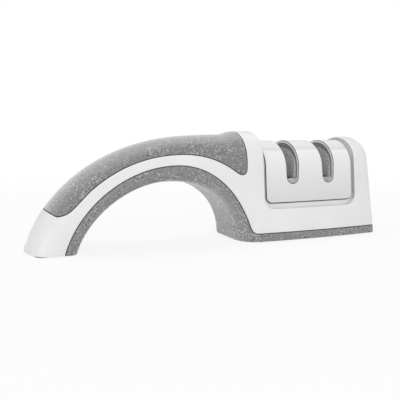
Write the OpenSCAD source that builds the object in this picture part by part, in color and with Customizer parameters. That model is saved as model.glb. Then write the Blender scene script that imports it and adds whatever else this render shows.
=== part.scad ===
// Two stage pull through knife sharpener with an arched handle.
// Millimetres, +Z up. Shapes are drawn in the side view: x runs from the tip of the heel to the far
// end of the head and z runs up from the table. placed() then moves the origin to the middle.

/* [Arch and handle] */
// Length of the heel along the table, from its tip to the arch
heel_length = 27.5; // [25:0.5:30]
// Span of the arch on the table
arch_span = 101; // [98:0.5:105]
// Clear height under the arch
arch_height = 39.8; // [38:0.2:42]
// Height of the handle above the middle of the arch
crown_height = 66.4; // [65:0.1:67.4]
// Width of the heel
heel_width = 42.6; // [40:0.2:46]
// Width of the handle where the hand closes round it
grip_width = 38.8; // [36:0.2:42]
// Depth of the rounded top of the handle
grip_dome = 10.4; // [9.6:0.1:11.2]
// Depth of the rounded tip of the heel
heel_dome = 14; // [12:0.2:16]
// Thickness of the soft grip
grip_skin = 2.4; // [1.8:0.1:2.8]
// Radius of the handle's lower edges
arch_edge_r = 4.5; // [3.5:0.1:5.5]
// Radius of the plinth's corners beside the arch
leg_corner_r = 13; // [11:0.5:14]

/* [Head] */
// Length of the head beyond the window
nose_length = 17.2; // [16.4:0.1:18.4]
// Height of the shoulder beside the handle
shoulder_height = 69.4; // [68.8:0.1:70.6]
// How far the top of the nose lies below the shoulder
nose_drop = 4.1; // [3:0.1:5]
// Width across the shoulder, where its rounded top begins
shoulder_width = 44.8; // [43:0.2:47]
// Depth of the rounded top of the head
shoulder_dome = 19.4; // [18:0.2:20.6]
// Outward slope of the sides, in mm for each mm of height
side_slope = 0.096; // [0.08:0.002:0.11]
// Swelling of each side at the widest part of the head
belly = 1; // [0.6:0.1:1.4]
// Narrowing of each side at the far end
nose_taper = 2.6; // [1.6:0.1:3]
// Distance that the far end face leans back at its top
nose_lean = 5.1; // [4.2:0.1:6]
// Depth of the rounding between the top and the far end face
nose_round = 5.4; // [4.8:0.1:6.4]
// Radius of the upright edges of the far end face
nose_edge_r = 4; // [3:0.5:5]
// Height of the line where the white housing meets the plinth
plinth_height = 5.8; // [5.4:0.1:6.6]

/* [Shells] */
// Wall of the housings
wall = 2.4; // [2:0.1:2.6]
// Floor of the plinth
floor_t = 2.5; // [2.3:0.1:2.9]
// How far the rubber feet stand below the shells
foot_proud = 0.6; // [0.5:0.05:0.8]
// Depth that each rubber foot is let into its shell
foot_recess = 1.2; // [0.9:0.1:1.4]
// Diameter of the feet under the head
foot_d = 11; // [9:0.5:12]

/* [Guide cover] */
// Distance from the arch to the window in the housing
window_start = 15.4; // [14.6:0.1:16.4]
// Height of the window's lower edge
window_bottom = 20.9; // [20:0.1:22]
// Radius of the window's lower corners
window_corner = 7; // [5:0.5:8]
// Width of the groove beside the cover, next to the handle
near_groove = 2.1; // [1.6:0.1:2.6]
// Width of the groove beside the cover, next to the far end
far_groove = 3.2; // [2.6:0.1:3.6]
// Width of the groove below the cover
low_groove = 3.6; // [3:0.1:4]
// How far the top of the guide cover lies below the shoulder
cover_drop = 7.8; // [7.2:0.1:8.4]
// Depth of the cover's rounded top
cover_dome = 16; // [15.2:0.1:16.8]
// How far the sides of the cover lie inside the housing's sides
cover_inset = 1.1; // [0.9:0.1:1.3]
// Wall of the guide cover
cover_wall = 3; // [2.8:0.1:3.2]
// Radius of the cover's lower corners
cover_corner = 4; // [3:0.5:5]
// Overlap of the cover's flange behind the housing
flange_lap = 2.4; // [2.2:0.1:2.6]
// Gap between pieces that are fitted without play
fit_gap = 0.2; // [0.15:0.01:0.3]

/* [Slots] */
// Distance from the window's edge to the first slot's middle
first_slot = 20.8; // [20.4:0.1:21.4]
// Distance between the two slots
slot_pitch = 27; // [26.6:0.1:27.4]
// Distance of the second slot from the window's far end
last_slot = 21.1; // [20.4:0.1:22]
// Width of each slot in the cover at its foot
slot_w = 8.4; // [8:0.1:8.8]
// Width of each slot at the top of the cover
slot_mouth = 10.4; // [10:0.1:10.8]
// Lowest point of each slot
slot_bottom = 36.2; // [35.8:0.1:36.8]
// Width of the knife gap at the foot of each guide
guide_gap = 5.2; // [4.8:0.1:5.6]
// Lower edge of the guides' sloping faces
guide_foot = 39.6; // [39:0.1:40.2]
// Wall of the guides
guide_wall = 1.8; // [1.6:0.1:2]
// Length of each guide along the sharpener
guide_length = 21.2; // [20:0.2:22]

/* [Sharpening wheels] */
// Height of the axles
axle_z = 31.4; // [31:0.1:31.8]
// Diameter of the axles
axle_d = 4; // [3.6:0.1:4.4]
// Diameter of the sharpening wheels
wheel_d = 25; // [24:0.2:25.6]
// Diameter at the bottom of the groove between two wheels
groove_d = 16.4; // [15.6:0.2:17]
// Angle of the wheels' faces in the first stage, from upright
coarse_angle = 20; // [18:0.5:22]
// Angle of the wheels' faces in the second stage, from upright
fine_angle = 18; // [16:0.5:20]
// Thickness of a wheel's rim
rim_t = 1.6; // [1.4:0.1:1.8]
// Diameter of the wheels' hubs
hub_d = 10; // [9:0.2:11]
// Length of a hub behind its wheel
hub_length = 1.2; // [1:0.1:1.4]
// Clearance of the axles in their bushes, all round
running_gap = 0.05; // [0.03:0.01:0.08]
// End play between the wheels and the bushes
end_play = 0.3; // [0.2:0.05:0.4]
// Outer diameter of the bushes
bush_d = 7; // [6.6:0.1:7.4]
// Thickness of the carrier's upright walls
bearing_wall = 3; // [2.8:0.1:3.2]
// Wire of the springs
spring_wire = 0.7; // [0.6:0.05:0.75]
// Length of the springs as fitted
spring_length = 4; // [3.8:0.1:4.2]
// Thickness of the collars that the springs push against
seat_t = 1.2; // [1:0.1:1.3]
// Thickness of the axle clips
clip_t = 0.8; // [0.6:0.1:0.9]
// Diameter of the axle clips
clip_d = 7.2; // [6.8:0.1:7.6]

/* [Carrier and screws] */
// Thickness of the carrier's plate
plate_t = 2.4; // [2:0.1:2.8]
// Height of the carrier's plate above the table
plate_z = 11; // [10.5:0.1:11.6]
// Clearance between the carrier's sides and the guide cover
plate_gap = 0.3; // [0.2:0.05:0.6]
// Diameter of the screws
screw_d = 3; // [2.6:0.1:3.2]
// Diameter of the screw heads
head_d = 5.6; // [5.2:0.1:6]
// Height of the screw heads
head_t = 1.8; // [1.6:0.1:2]
// Diameter of the bosses that take the screws
boss_d = 7; // [6.6:0.1:7.6]
// Distance of the housing screws from the middle, across the head
screw_side = 15; // [14:0.2:15.6]

/* [Hidden] */

white = "whitesmoke";
grey = "dimgray";
light = "gainsboro";

window_length = first_slot + slot_pitch + last_slot;
head_length = window_start + window_length + nose_length;
total_length = heel_length + arch_span + head_length;
leg_x = heel_length + arch_span;
nose_height = shoulder_height - nose_drop;
cover_top = shoulder_height - cover_drop;
arch_mid_x = heel_length + 0.5446 * arch_span;
window_x = leg_x + window_start;
window_end = window_x + window_length;
cover_x = window_x + near_groove;
cover_end = window_end - far_groove;
slot_x = [for (i = [0, 1]) window_x + first_slot + i * slot_pitch];
far = 300;

plate_w = shoulder_width - 2 * (cover_inset + cover_wall + plate_gap);

// Curves and small helpers
function bezier(p, t) =
    pow(1 - t, 3) * p[0] + 3 * pow(1 - t, 2) * t * p[1] + 3 * (1 - t) * t * t * p[2] + pow(t, 3) * p[3];
function slope_of(p, t) =
    pow(1 - t, 2) * (p[1] - p[0]) + 2 * (1 - t) * t * (p[2] - p[1]) + t * t * (p[3] - p[2]);
function curve(p, n) = [for (i = [1:n]) bezier(p, i / n)];
function unit(v) = v / norm(v);
function mix(a, b, t) = a + (b - a) * t;
function ease(t) = t < 0 ? 0 : t > 1 ? 1 : t * t * (3 - 2 * t);

// The arch and the back of the handle, seen from the side
arch_rise = [
    [heel_length, foot_proud], [heel_length + 6.5, 0.53 * arch_height],
    [arch_mid_x - 24, arch_height], [arch_mid_x, arch_height]
];
arch_fall = [
    [arch_mid_x, arch_height], [arch_mid_x + 0.65 * (leg_x - arch_mid_x), arch_height],
    [leg_x, 0.55 * arch_height], [leg_x, foot_proud]
];
crown_x = arch_mid_x + 11;
back_rise = [
    [0, foot_proud], [6.4, 26], [0.39 * crown_x, crown_height - 4.4], [crown_x, crown_height]
];
// Where the back of the handle lifts to the shoulder
lift_x = leg_x - 6.5;
lift_run = 10;
lift_z = crown_height + 0.9;
nose_x = total_length - nose_lean - nose_round;
nose_centre = nose_height - nose_round;
dome_level = shoulder_height - shoulder_dome;
groove_depth = wall + fit_gap - cover_inset;
// Share of the fall of the arch to which the thick wall behind the grip reaches
grip_reach = 0.63;
// How far the sharp rim underneath is eased back, so that it isn't a knife edge to hold
rim_break = 0.4;

function crown_z(x) =
    x < lift_x ? mix(lift_z, crown_height, pow((lift_x - x) / (lift_x - crown_x), 2))
    : x < window_x ? mix(lift_z, shoulder_height, ease((x - lift_x) / lift_run))
    : x < window_end ? mix(shoulder_height, nose_height, (x - window_x) / window_length)
    : nose_height;

// Half width of the body at the level where its rounded top begins
function half_width(x) =
    x < heel_length ? heel_width / 2
    : x < arch_mid_x ? mix(heel_width, grip_width, ease((x - heel_length) / (arch_mid_x - heel_length))) / 2
    : x < window_x ? mix(grip_width, shoulder_width, ease((x - arch_mid_x) / (window_x - arch_mid_x))) / 2
    : shoulder_width / 2 + swell((x - window_x) / (total_length - window_x));
function swell(t) = 4 * belly * t * (1 - t) - nose_taper * t * t;

// One station of the body: a point underneath, the point on the back above it, depth of the rounded
// top, radius of the lower edge, distance already behind that edge, and how steeply it is crossed
function rise_station(t) =
    let (b = bezier(arch_rise, t), c = bezier(back_rise, t), e = unit(c - b), a = unit(slope_of(arch_rise, t)))
    [b, c, mix(heel_dome, grip_dome, ease(t / 0.6)), arch_edge_r, 0, abs(cross(e, a))];
function fall_station(t) =
    let (
        b = bezier(arch_fall, t), x = mix(crown_x, window_x + 27.6, t), c = [x, crown_z(x)],
        e = unit(c - b), a = unit(slope_of(arch_fall, t))
    )
    [b, c, mix(grip_dome, c.y - dome_level, ease(t / 0.62)) / e.y, mix(arch_edge_r, leg_corner_r, t), 0,
        abs(cross(e, a))];
function head_station(t) =
    let (
        b = [mix(leg_x, total_length - nose_edge_r, t), foot_proud],
        x = mix(window_x + 27.6, nose_x, t), c = [x, crown_z(x)], e = unit(c - b)
    )
    [b, c, (c.y - dome_level) / e.y, leg_corner_r, b.x - leg_x, max(0.2, e.x)];
function nose_station(a) =
    let (
        b = [total_length - nose_edge_r * (1 - sin(a)), foot_proud],
        c = [mix(nose_x, total_length - nose_lean, sin(a)), nose_centre + nose_round * cos(a)]
    )
    [b, c, c.y - dome_level, leg_corner_r, head_length, 1, nose_edge_r * (1 - cos(a))];

function body_stations(rise, fall, head, nose) = concat(
    [for (i = [0:rise]) rise_station(i / rise)],
    [for (i = [1:fall]) fall_station(i / fall)],
    [for (i = [1:4]) head_station(i * leg_corner_r / 4 / (head_length - nose_edge_r))],
    [for (i = [1:head]) head_station(mix(leg_corner_r / (head_length - nose_edge_r), 1, i / head))],
    [for (i = [1:nose]) nose_station(90 * i / nose)]
);

// Half of a section in its own plane, as [distance along the plane, half width], from underneath to
// the top; inset is the distance inside the outer surface and low is the level of the floor
function half_section(s, inset, low, edge_n, dome_n) =
    let (
        b = s[0], c = s[1], e = unit(c - b), reach = norm(c - b), cut = len(s) > 6 ? s[6] : 0,
        r = max(1, s[3] - inset), start = max((inset - s[4]) / s[5], e.y > 0.3 ? (low - b.y) / e.y : 0),
        behind = max(0, s[4] - inset), base = reach - s[2], top_z = (b + e * base).y
    )
    [
        [start, 0],
        for (i = [0:edge_n])
            let (
                step = r * (1 - cos(90 * i / edge_n)), d = max(step, behind),
                along = max(start + 0.35 * i, start + (step - behind) / s[5]), p = b + e * along
            )
            [along, half_width(p.x) - inset - cut + side_slope * max(0, top_z - p.y) * min(1, e.y / 0.8)
                - (d < r ? r - sqrt(r * r - pow(r - d, 2)) : 0) - rim_break * pow(1 - i / edge_n, 2)],
        for (i = [0:dome_n])
            let (a = 90 * i / dome_n, along = base + (s[2] - inset) * sin(a), p = b + e * along)
            [along, (half_width(p.x) - inset - cut) * cos(a)]
    ];

// The two halves joined into a ring of points in space
function ring(s, half) =
    let (e = unit(s[1] - s[0]), n = len(half))
    [
        for (i = [0:n - 1]) let (p = s[0] + e * half[i][0]) [p.x, -half[i][1], p.y],
        for (i = [n - 2:-1:1]) let (p = s[0] + e * half[i][0]) [p.x, half[i][1], p.y]
    ];

// One closed surface through all rings
module loft(rings) {
    n = len(rings[0]);
    last = (len(rings) - 1) * n;
    polyhedron(
        points = [for (r = rings) for (p = r) p],
        faces = [
            for (i = [0:len(rings) - 2]) for (k = [0:n - 1])
                let (a = i * n + k, b = i * n + (k + 1) % n)
                each [[a, b, a + n], [b, b + n, a + n]],
            [for (k = [n - 1:-1:0]) k],
            [for (k = [0:n - 1]) last + k]
        ]
    );
}

// The outside of the whole body, and the same form drawn in by the skin of the grip
module body_form() {
    loft([for (s = body_stations(13, 10, 4, 4)) ring(s, half_section(s, 0, foot_proud, 3, 6))]);
}

module grip_bed_form() {
    stations = concat(
        [for (i = [3:14]) rise_station(i / 14)],
        [for (i = [1:8]) fall_station(i / 12)]
    );
    loft([for (s = stations) ring(s, half_section(s, grip_skin, foot_proud, 1, 7))]);
}

// The hollow inside: thick walls where the grip is let in, one wall's thickness in the head
module hollow_form() {
    deep = grip_skin + wall;
    inner_floor = foot_proud + floor_t;
    last = [
        [total_length - wall, foot_proud], [total_length - wall - nose_lean, nose_centre + 0.6 * nose_round],
        nose_centre + 0.6 * nose_round - dome_level, leg_corner_r, head_length, 1, nose_edge_r - wall
    ];
    corner = leg_corner_r / (head_length - nose_edge_r);
    stations = concat(
        [for (i = [1:8]) [rise_station(i / 8), deep]],
        [for (i = [1:5]) [fall_station(i / 5 * grip_reach), deep]],
        [for (i = [0:2]) [fall_station(mix(grip_reach + 0.07, 1, i / 2)), wall]],
        [for (i = [1:3]) [head_station(corner * i / 3), wall]],
        [for (i = [1:5]) [head_station(mix(corner, 1, i / 5)), wall]],
        [[last, wall]]
    );
    loft([for (s = stations) ring(s[0], half_section(s[0], s[1], inner_floor, 2, 4))]);
}

// Parting lines, seen from the side
// Both keep their share of the height between the arch and the crown
split_top = mix(arch_height, crown_height, 0.361);
grip_low = mix(arch_height, crown_height, 0.6015);
grip_start = mix(arch_height, crown_height, -0.654);
split_line = concat(
    [[heel_length - 7.6, 0]],
    curve([
        [heel_length - 7.6, 0], [heel_length + 0.5, 0.567 * split_top],
        [arch_mid_x - 26, split_top], [arch_mid_x + 5, split_top]
    ], 20),
    curve([
        [arch_mid_x + 5, split_top], [leg_x - 15, split_top],
        [leg_x - 0.2, 28], [leg_x + 6.3, plinth_height + 3]
    ], 17),
    curve([
        [leg_x + 6.3, plinth_height + 3], [leg_x + 7.2, plinth_height + 0.7],
        [leg_x + 8.5, plinth_height], [leg_x + 10.5, plinth_height]
    ], 5)
);
grip_line = concat(
    [[heel_length - 11, grip_start]],
    curve([
        [heel_length - 11, grip_start], [heel_length - 3.5, grip_start + 1.2],
        [heel_length - 3, grip_start + 3.6], [heel_length + 7.5, 0.542 * crown_height]
    ], 10),
    curve([
        [heel_length + 7.5, 0.542 * crown_height], [heel_length + 24.5, 0.756 * crown_height],
        [arch_mid_x - 11, grip_low], [arch_mid_x + 8, grip_low]
    ], 15),
    curve([
        [arch_mid_x + 8, grip_low], [arch_mid_x + 20, grip_low],
        [leg_x - 15, 0.798 * crown_height], [leg_x - 4, 0.678 * crown_height]
    ], 10),
    curve([
        [leg_x - 4, 0.678 * crown_height], [leg_x + 1, 0.618 * crown_height],
        [leg_x + 4, 0.64 * crown_height], [leg_x + 4, 0.723 * crown_height]
    ], 8)
);

// A side view outline, carried right across the body
module across(points) {
    rotate([90, 0, 0]) linear_extrude(2 * far, center = true) polygon(points);
}

module below_split() {
    across(concat([[heel_length - 7.6, -far]], split_line, [[far, plinth_height], [far, -far]]));
}

module above_split() {
    across(concat(
        [[heel_length - 7.6, -far]], split_line, [[far, plinth_height], [far, far], [-far, far], [-far, -far]]
    ));
}

module above_grip_line() {
    across(concat(grip_line, [
        [leg_x + 4, far], [-far, far], [-far, grip_start + 0.5 * (far + heel_length - 11)]
    ]));
}

// The window over the head, and the cover's own outline, both with rounded lower corners
function tub(x0, x1, low, r) = concat(
    [[x0, far]],
    [for (i = [0:8]) [x0 + r * (1 - cos(i * 11.25)), low + r * (1 - sin(i * 11.25))]],
    [for (i = [0:8]) [x1 - r * (1 - sin(i * 11.25)), low + r * (1 - cos(i * 11.25))]],
    [[x1, far]]
);

// The saddle shape of the guide cover, drawn in by inset: a half section from the level low upwards
function saddle_half(x, inset, low) =
    let (w = half_width(x) - cover_inset - inset, level = cover_top - cover_dome)
    [
        [low, w + side_slope * (level - low)],
        for (i = [0:7]) [level + (cover_dome - inset) * sin(90 * i / 7), w * cos(90 * i / 7)]
    ];
function saddle_arch(x, inset, low) =
    let (half = saddle_half(x, inset, low), n = len(half))
    [for (p = half) [x, -p[1], p[0]], for (k = [n - 2:-1:0]) [x, half[k][1], half[k][0]]];

// The solid saddle, and a shell of it between two insets
module saddle_form(inset, x0, x1, low) {
    steps = 5;
    loft([for (i = [0:steps]) saddle_arch(mix(x0, x1, i / steps), inset, low)]);
}
module saddle_shell(outer, inner, x0, x1, low) {
    steps = 5;
    arches = [
        for (i = [0:steps]) let (x = mix(x0, x1, i / steps))
            concat(saddle_arch(x, outer, low), saddle_arch(x, inner, low))
    ];
    n = len(arches[0]) / 2;
    last = 2 * n * steps;
    polyhedron(
        points = [for (a = arches) for (p = a) p],
        faces = [
            for (i = [0:steps - 1])
                let (a = 2 * n * i, b = a + 2 * n)
                each [
                    for (k = [0:n - 2]) each [[a + k, a + k + 1, b + k], [a + k + 1, b + k + 1, b + k]],
                    for (k = [n:2 * n - 2]) each [[a + k + 1, a + k, b + k], [b + k + 1, a + k + 1, b + k]],
                    [a, b, b + n], [a, b + n, a + n],
                    [a + n - 1, b + 2 * n - 1, b + n - 1], [a + n - 1, a + 2 * n - 1, b + 2 * n - 1]
                ],
            for (k = [0:n - 2]) each [
                [k + n, k + n + 1, k + 1, k], [last + k, last + k + 1, last + k + n + 1, last + k + n]
            ]
        ]
    );
}

// Height of the roof above a point of the head, drawn in by inset
function roof_z(x, y, inset) =
    dome_level + (crown_z(x) - dome_level - inset) * sqrt(1 - pow(y / (half_width(x) - inset), 2));

// Places of the screws and feet, as [x, y]
housing_screw_places = [
    for (x = [leg_x + wall + boss_d / 2 + 3, total_length - wall - boss_d / 2 - 4]) for (y = [-1, 1])
        [x, y * screw_side]
];
foot_places = [
    for (x = [window_x + 5, window_end - 4]) for (y = [-1, 1]) [x, y * screw_side]
];
carrier_start = slot_x[0] - 15;
carrier_end = slot_x[1] + 20;
carrier_screw_places = [
    for (x = [carrier_start + 3.5, carrier_end - 3.5]) for (y = [-1, 1]) [x, y * 12.5]
];
handle_screw_x = arch_mid_x + 2;
boss_split = foot_proud + floor_t + 5;
screw_seat = foot_proud + 0.4 + head_t;
pilot_d = screw_d + 0.1;
flange_low = window_bottom - flange_lap;
floor_mid = foot_proud + floor_t / 2;
// Middle of the flange of the cover at its lower end, where posts of the base carry it
post_t = 1.5;
function flange_y(x) =
    half_width(x) - cover_inset - (groove_depth + cover_wall) / 2 + side_slope * (cover_top - cover_dome - flange_low);
rest_z = 30;

module placed() {
    translate([-total_length / 2, 0, 0]) children();
}

module upright(place, z0, z1, d) {
    translate([place.x, place.y, z0]) cylinder(h = z1 - z0, d = d, $fn = 24);
}

// A boss with moulding draft, wider at its root
module moulded_boss(place, z0, z1, d) {
    hull() {
        upright(place, z0, z0 + 0.5, d + 1.4);
        upright(place, z1 - 0.5, z1, d);
    }
}

// A body of revolution about an axle: the profile is given as [x, radius] from the slot's middle
module turned(stage, profile) {
    translate([slot_x[stage], 0, axle_z]) rotate([90, 0, 90]) rotate_extrude($fn = 72)
        polygon([for (p = profile) [p[1], p[0]]]);
}

module upper_housing() color(white) placed() {
    difference() {
        union() {
            difference() {
                body_form();
                hollow_form();
                across(tub(window_x, window_end, window_bottom, window_corner));
            }
            bulkheads();
            for (p = housing_screw_places)
                upright(p, boss_split, roof_z(p.x, abs(p.y) + boss_d / 2, 0.6), boss_d);
            upright([handle_screw_x, 0], arch_height + grip_skin + wall, crown_height - grip_skin - 1, boss_d);
        }
        below_split();
        difference() {
            above_grip_line();
            grip_bed_form();
        }
        for (p = housing_screw_places) upright(p, boss_split - 1, boss_split + 9, pilot_d);
        upright([handle_screw_x, 0], arch_height, crown_height - grip_skin - 4, pilot_d);
        heel_pad(1, fit_gap);
    }
}

// Walls that close the housing at both ends of the window, open where the flange passes
module bulkheads() {
    difference() {
        intersection() {
            body_form();
            for (x = [window_x - flange_lap, window_end])
                translate([x, -far, cover_top - cover_dome]) cube([flange_lap, 2 * far, far]);
        }
        saddle_form(groove_depth - fit_gap, window_x - 10, window_end + 10, 0);
    }
}

module grip_pad() color(grey) placed() {
    difference() {
        intersection() {
            body_form();
            above_grip_line();
        }
        grip_bed_form();
    }
}

module base_shell() color(grey) placed() {
    difference() {
        union() {
            difference() {
                body_form();
                hollow_form();
                above_split();
            }
            for (p = housing_screw_places) moulded_boss(p, floor_mid, boss_split, boss_d + 1);
            for (p = foot_places) upright(p, floor_mid, foot_proud + floor_t + 1, foot_d + 2);
            for (p = carrier_screw_places) moulded_boss(p, floor_mid, plate_z, boss_d);
            for (x = [slot_x[0] - 12, slot_x[1] + 14]) for (side = [-1, 1])
                translate([x - 2.5, side * flange_y(x) - post_t / 2, floor_mid])
                    cube([5, post_t, flange_low - floor_mid]);
        }
        for (p = housing_screw_places) {
            upright(p, -1, screw_seat, head_d + 0.4);
            upright(p, 0, boss_split + 1, screw_d + 0.4);
        }
        for (p = carrier_screw_places) upright(p, foot_proud + floor_t, plate_z + 1, pilot_d);
        for (p = foot_places) upright(p, -1, foot_proud + foot_recess, foot_d + 2 * fit_gap);
        upright([handle_screw_x, 0], arch_height - 6, arch_height + head_t + 0.4, head_d + 0.4);
        upright([handle_screw_x, 0], arch_height - 1, arch_height + 9, screw_d + 0.4);
    }
}

// A slot seen from the side: a round foot, and sides that spread up to the mouth and on
function slot_outline(x) =
    let (
        r = slot_w / 2, low = slot_bottom + r, spread = (slot_mouth / 2 - r) / (cover_top - low),
        out = r + spread * (far - low)
    )
    [
        [x - out, far],
        for (i = [0:12]) [x - r * cos(i * 15), low - r * sin(i * 15)],
        [x + out, far]
    ];

module guide_cover() color(light) placed() {
    difference() {
        union() {
            intersection() {
                saddle_shell(0, groove_depth + 0.6, window_x, window_end, window_bottom);
                across(tub(cover_x, cover_end, cover_low, cover_corner));
            }
            saddle_shell(groove_depth, cover_wall, window_x - flange_lap, window_end + flange_lap, flange_low);
        }
        // The slots reach lower in the skin than in the shell behind it, which stops the blade
        for (x = slot_x) {
            intersection() {
                across(slot_outline(x));
                difference() {
                    saddle_form(-5, window_x - 5, window_end + 5, 0);
                    saddle_form(groove_depth + 0.3, window_x - 6, window_end + 6, -1);
                }
            }
            intersection() {
                across(slot_outline(x));
                across([[x - far, guide_foot], [x + far, guide_foot], [x + far, far], [x - far, far]]);
            }
        }
    }
}
cover_low = window_bottom + low_groove;

// A knife guide: a saddle under the cover with sloping faces on both sides of the knife
module guide(stage) placed() {
    x = slot_x[stage];
    top_half = slot_mouth / 2;
    foot_half = guide_gap / 2;
    inset = cover_wall + fit_gap;
    difference() {
        union() {
            saddle_shell(inset, inset + guide_wall, x - guide_length / 2, x + guide_length / 2, rest_z);
            intersection() {
                saddle_form(inset + guide_wall / 2, x - guide_length / 2, x + guide_length / 2, rest_z);
                for (side = [-1, 1])
                    across([
                        [x + side * (foot_half - 1), guide_foot], [x + side * (foot_half + guide_wall), guide_foot],
                        [x + side * (top_half + guide_wall), cover_top], [x + side * (top_half - 1), cover_top]
                    ]);
            }
        }
        across([
            [x - foot_half, guide_foot - 1], [x - foot_half, guide_foot], [x - top_half, cover_top],
            [x - top_half, far], [x + top_half, far], [x + top_half, cover_top], [x + foot_half, guide_foot],
            [x + foot_half, guide_foot - 1]
        ]);
        across(tub_between(x - top_half, x + top_half, slot_bottom, guide_foot));
        translate([x, 0, axle_z]) rotate([0, 90, 0])
            cylinder(h = 2 * (hub_end(stage) + 0.6), d = wheel_d + 1.6, center = true, $fn = 72);
    }
}
function tub_between(x0, x1, low, high) = [[x0, high], [x0 + 1, low], [x1 - 1, low], [x1, high]];

module stage_1_guide() color(grey) guide(0);
module stage_2_guide() color(grey) guide(1);

// Places along an axle, measured from the slot's middle
function hone_angle(stage) = [coarse_angle, fine_angle][stage];
function rim_x(stage) = (wheel_d - groove_d) / 2 * tan(hone_angle(stage));
function hub_end(stage) = rim_x(stage) + rim_t + hub_length;
function seat_x(stage) = hub_end(stage) + spring_length;
function near_wall(stage) = -hub_end(stage) - end_play - bearing_wall;
function far_wall(stage) = seat_x(stage) + seat_t + end_play;
function near_clip(stage) = near_wall(stage) - fit_gap - clip_t;
function far_clip(stage) = far_wall(stage) + bearing_wall + fit_gap;

module wheel_carrier() color("silver") placed() {
    difference() {
        union() {
            translate([carrier_start, -plate_w / 2, plate_z])
                cube([carrier_end - carrier_start, plate_w, plate_t]);
            for (side = [-1, 1])
                translate([carrier_start + 8, side * (plate_w / 2 - 1.25) - 1.25, plate_z + plate_t / 2])
                    cube([carrier_end - carrier_start - 16, 2.5, rest_z - plate_z - plate_t / 2]);
            for (stage = [0, 1]) for (x = [near_wall(stage), far_wall(stage)])
                translate([slot_x[stage] + x, 0, 0]) rotate([90, 0, 90]) linear_extrude(bearing_wall) {
                    translate([0, axle_z]) circle(d = bush_d + 5, $fn = 64);
                    polygon([
                        [-plate_w / 2 + 1, plate_z + plate_t / 2], [plate_w / 2 - 1, plate_z + plate_t / 2],
                        [plate_w / 2 - 1, plate_z + plate_t + 2], [bush_d / 2 + 2.5, axle_z],
                        [-bush_d / 2 - 2.5, axle_z], [-plate_w / 2 + 1, plate_z + plate_t + 2]
                    ]);
                }
        }
        for (stage = [0, 1]) translate([slot_x[stage], 0, axle_z]) rotate([0, 90, 0])
            cylinder(h = 60, d = bush_d, center = true, $fn = 64);
        for (p = carrier_screw_places) upright(p, plate_z - 1, plate_z + plate_t + 1, screw_d + 0.4);
    }
}

module bushes(stage) color("goldenrod") placed() {
    for (x = [near_wall(stage), far_wall(stage)])
        turned(stage, [
            [x, axle_d / 2 + running_gap], [x, bush_d / 2],
            [x + bearing_wall, bush_d / 2], [x + bearing_wall, axle_d / 2 + running_gap]
        ]);
}
module stage_1_bushes() bushes(0);
module stage_2_bushes() bushes(1);

module axle(stage) color("lightgray") placed() {
    r = axle_d / 2;
    neck = r - 0.4;
    a = near_clip(stage);
    b = far_clip(stage);
    turned(stage, [
        [a - 0.8, 0], [a - 0.8, r - 0.3], [a - 0.5, r], [a, r], [a, neck], [a + clip_t, neck],
        [a + clip_t, r], [b, r], [b, neck], [b + clip_t, neck], [b + clip_t, r],
        [b + clip_t + 0.5, r], [b + clip_t + 0.8, r - 0.3], [b + clip_t + 0.8, 0]
    ]);
}
module stage_1_axle() axle(0);
module stage_2_axle() axle(1);

// A wheel with one sloping face; side is -1 for the fixed wheel and 1 for the sliding one
module wheel(stage, side, play) placed() {
    bore = axle_d / 2 + play;
    turned(stage, [
        for (p = [
            [0, bore], [0, groove_d / 2], [rim_x(stage), wheel_d / 2], [rim_x(stage) + rim_t, wheel_d / 2],
            [rim_x(stage) + rim_t, hub_d / 2], [hub_end(stage), hub_d / 2], [hub_end(stage), bore]
        ]) [side * p[0], p[1]]
    ]);
}
module stage_1_fixed_wheel() color("slategray") wheel(0, -1, 0);
module stage_1_sliding_wheel() color("slategray") wheel(0, 1, running_gap);
module stage_2_fixed_wheel() color("ivory") wheel(1, -1, 0);
module stage_2_sliding_wheel() color("ivory") wheel(1, 1, running_gap);

// The spring's wire winds round the axle at a steady pitch
spring_gap = 0.5;
spring_r = axle_d / 2 + 1.2;
spring_turns = (spring_length - spring_wire - 0.1) / (spring_wire + spring_gap);
echo("gap between the curls of a spring", (spring_length - spring_wire - 0.1) / spring_turns - spring_wire);
module spring(stage) color("silver") placed() {
    steps = ceil(8 * spring_turns);
    lean = atan((spring_wire + spring_gap) / (2 * PI * spring_r));
    loft([
        for (i = [0:steps])
            let (
                a = 360 * spring_turns * i / steps, x = slot_x[stage] + hub_end(stage) + 0.05 + spring_wire / 2
                    + (spring_length - spring_wire - 0.1) * i / steps
            )
            [
                for (k = [0:5])
                    let (c = spring_wire / 2 * cos(60 * k), u = spring_wire / 2 * sin(60 * k), r = spring_r + c)
                    [
                        x + u * cos(lean), r * cos(a) + u * sin(lean) * sin(a),
                        axle_z + r * sin(a) - u * sin(lean) * cos(a)
                    ]
            ]
    ]);
}
module stage_1_spring() spring(0);
module stage_2_spring() spring(1);

module spring_seat(stage) color("silver") placed() {
    turned(stage, [
        [seat_x(stage), axle_d / 2], [seat_x(stage), spring_r + 1],
        [seat_x(stage) + seat_t, spring_r + 1], [seat_x(stage) + seat_t, axle_d / 2]
    ]);
}
module stage_1_spring_seat() spring_seat(0);
module stage_2_spring_seat() spring_seat(1);

module clips(stage) color("silver") placed() {
    neck = axle_d / 2 - 0.4;
    for (x = [near_clip(stage), far_clip(stage)])
        difference() {
            turned(stage, [
                [x, neck], [x, clip_d / 2], [x + clip_t, clip_d / 2], [x + clip_t, neck]
            ]);
            translate([slot_x[stage] + x - 1, -neck, axle_z - clip_d])
                cube([clip_t + 2, 2 * neck, clip_d]);
        }
}
module stage_1_clips() clips(0);
module stage_2_clips() clips(1);

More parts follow.
